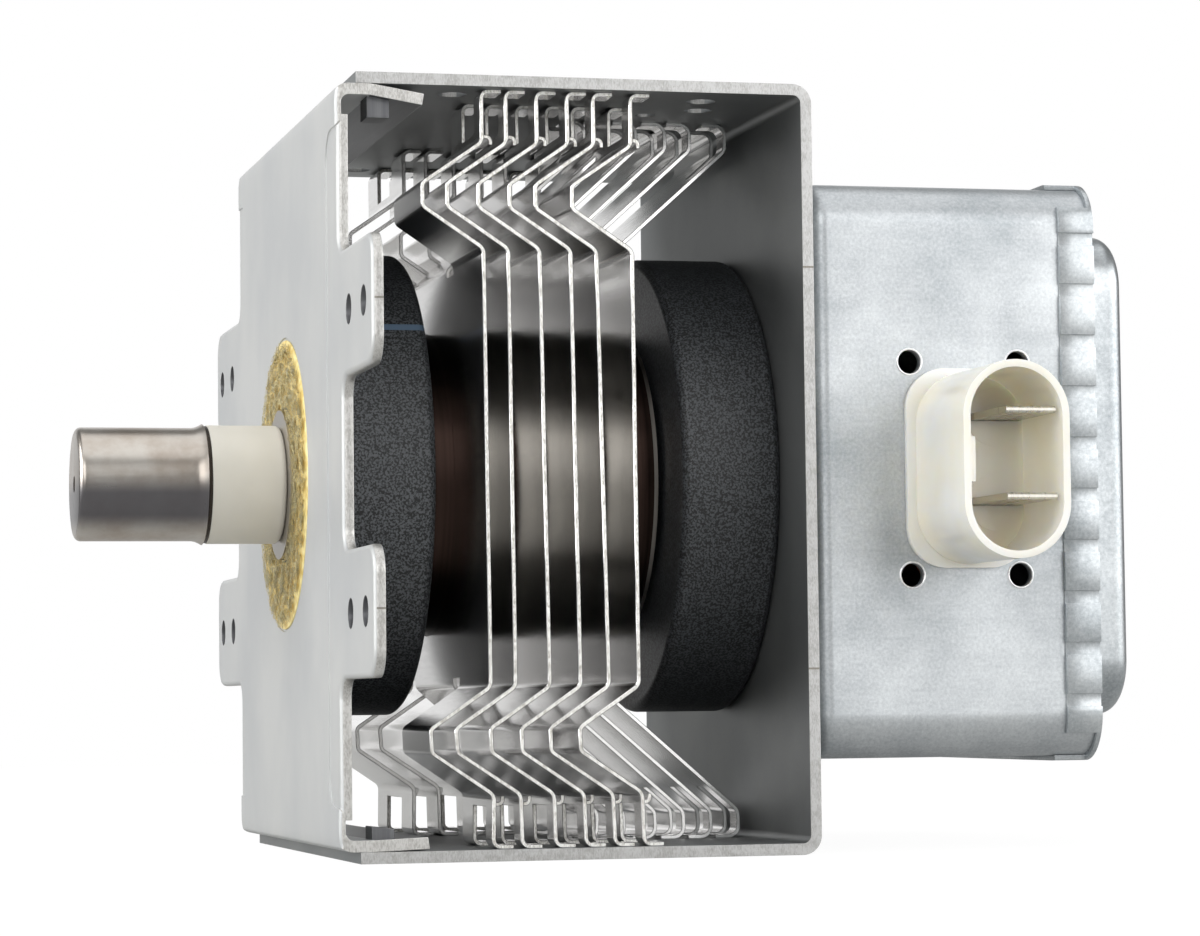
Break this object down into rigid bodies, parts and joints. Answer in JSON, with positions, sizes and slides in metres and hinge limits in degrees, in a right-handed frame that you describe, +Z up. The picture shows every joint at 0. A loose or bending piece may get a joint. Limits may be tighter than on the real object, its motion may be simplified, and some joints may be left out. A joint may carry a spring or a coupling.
{
  "type": "microwave oven magnetron",
  "caption": "Magnetron with an antenna, mounting plate with ears, steel yoke, ring magnets, folded cooling fins and a filter box with a two-blade connector.",
  "frame": {"origin": "on the antenna axis, in the outer face of the mounting ears, at the middle of the ear holes", "axes": "-X along the antenna, +X towards the filter box, -Y towards the connector side, +Z up"},
  "size_m": [0.1295, 0.1256, 0.0944],
  "materials": {
    "zinc_steel": "matt zinc plate",
    "box_steel": "galvanised, faint spangle",
    "ferrite": "matt, speckled",
    "copper": "turned",
    "iron": "machined",
    "nickel_steel": "fine turned",
    "alumina": "matt",
    "brass_mesh": "knitted wire",
    "tungsten": "dull",
    "molybdenum": "dull",
    "cream_plastic": "gloss",
    "fin_aluminium": "polished",
    "tinned_brass": "tinned",
    "choke_ferrite": "matt",
    "enamelled_copper": "enamelled"
  },
  "bodies": {
    "root": {"mounting_plate": "zinc_steel", "yoke_frame": "zinc_steel", "antenna_side_magnet": "ferrite", "filter_side_magnet": "ferrite", "anode_cylinder": "copper", "antenna_side_pole_piece": "iron", "filter_side_pole_piece": "iron", "antenna_seal_cup": "nickel_steel", "cathode_seal_cup": "nickel_steel", "antenna_ceramic": "alumina", "exhaust_tube": "copper", "antenna_lead": "copper", "antenna_cap": "nickel_steel", "rf_gasket": "brass_mesh", "filament": "tungsten", "antenna_side_end_hat": "molybdenum", "filter_side_end_hat": "molybdenum", "centre_cathode_lead": "molybdenum", "side_cathode_lead": "molybdenum", "stem_ceramic": "alumina", "filter_box": "box_steel", "filter_lid": "box_steel", "connector_housing": "cream_plastic", "connector_earth_plate": "box_steel", "anode_vane_01": "copper", "anode_vane_02": "copper", "anode_vane_03": "copper", "anode_vane_04": "copper", "anode_vane_05": "copper", "anode_vane_06": "copper", "anode_vane_07": "copper", "anode_vane_08": "copper", "anode_vane_09": "copper", "anode_vane_10": "copper", "small_strap_antenna_side": "copper", "large_strap_antenna_side": "copper", "small_strap_filter_side": "copper", "large_strap_filter_side": "copper", "cooling_fin_1": "fin_aluminium", "cooling_fin_2": "fin_aluminium", "cooling_fin_3": "fin_aluminium", "cooling_fin_4": "fin_aluminium", "cooling_fin_5": "fin_aluminium", "cooling_fin_6": "fin_aluminium", "terminal_blade_upper": "tinned_brass", "choke_core_upper": "choke_ferrite", "choke_winding_upper": "enamelled_copper", "choke_lead_upper": "enamelled_copper", "stem_terminal_upper": "nickel_steel", "terminal_blade_lower": "tinned_brass", "choke_core_lower": "choke_ferrite", "choke_winding_lower": "enamelled_copper", "choke_lead_lower": "enamelled_copper", "stem_terminal_lower": "nickel_steel"}
  },
  "joints": []
}
